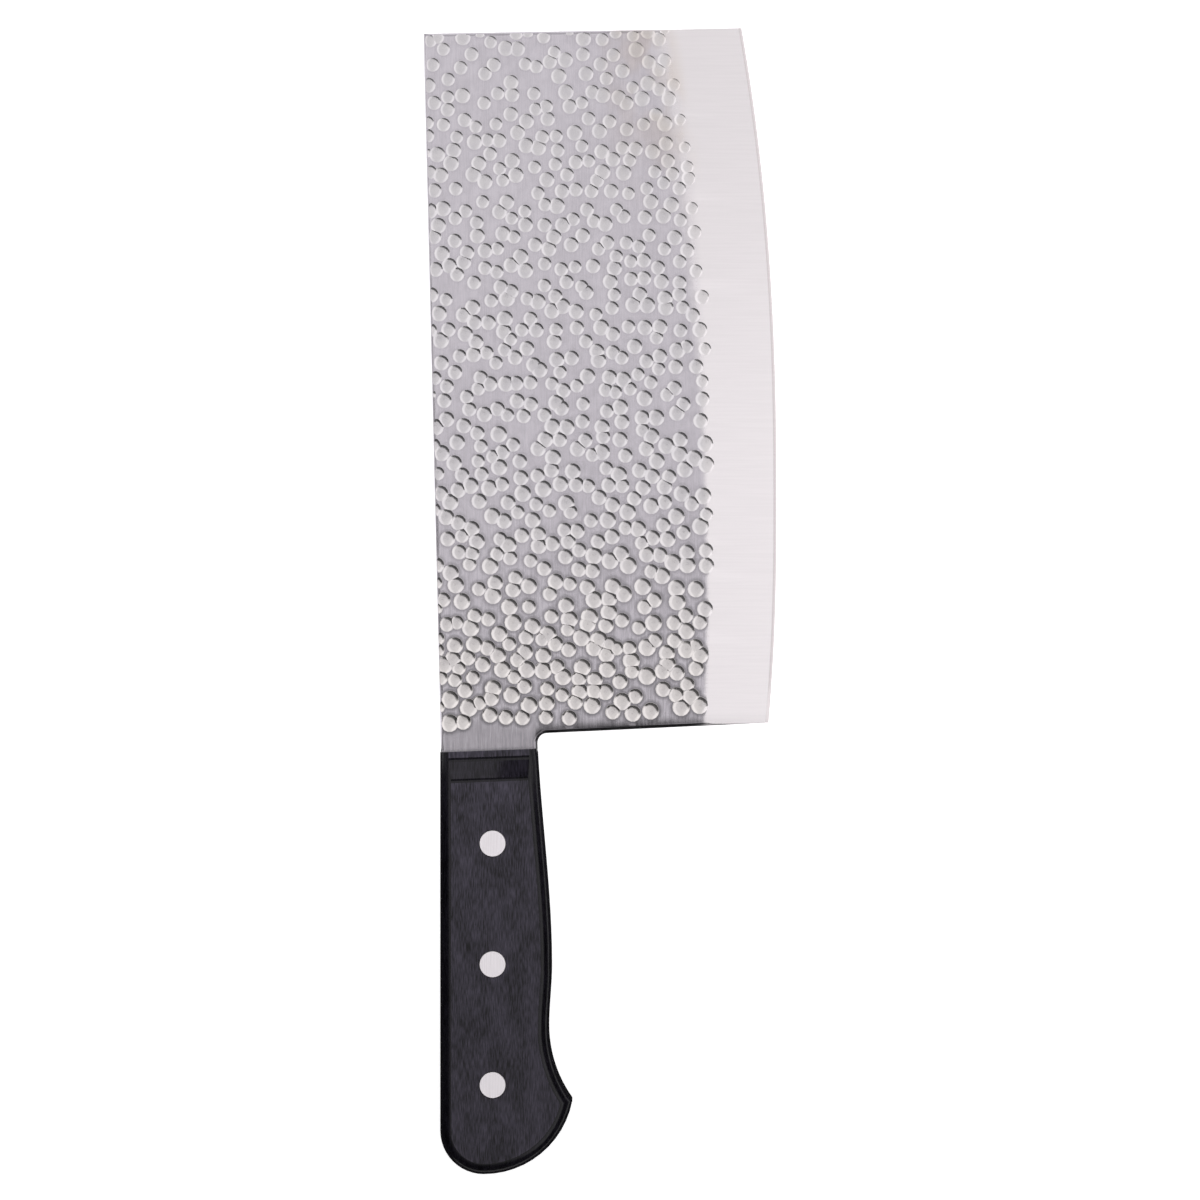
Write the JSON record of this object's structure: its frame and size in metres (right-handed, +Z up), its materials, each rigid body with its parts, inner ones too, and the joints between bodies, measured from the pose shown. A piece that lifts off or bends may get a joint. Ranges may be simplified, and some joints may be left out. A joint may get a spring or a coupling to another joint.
{
  "type": "vegetable cleaver",
  "caption": "Rectangular vegetable cleaver with a hammered steel blade, wide ground bevel and gently curved edge, and a riveted full-tang handle of black laminated wood with a beaked butt.",
  "frame": {"origin": "middle of the knife's box in plan, on the surface it lies on, which the lower scale's flat face meets", "axes": "+X from the spine to the cutting edge, +Y from the butt to the blade's tip end, +Z up out of the blade's side"},
  "size_m": [0.0864, 0.28, 0.018],
  "materials": {
    "blade_steel": "satin, hammered on the flats",
    "rivet_steel": "brushed flush with the wood",
    "black_wood": "black laminated wood, polished, with a fine grain"
  },
  "bodies": {
    "root": {"blade_and_tang": "blade_steel", "upper_scale": "black_wood", "lower_scale": "black_wood", "front_rivet_socket": "rivet_steel", "front_rivet_pin": "rivet_steel", "middle_rivet_socket": "rivet_steel", "middle_rivet_pin": "rivet_steel", "rear_rivet_socket": "rivet_steel", "rear_rivet_pin": "rivet_steel"}
  },
  "joints": []
}
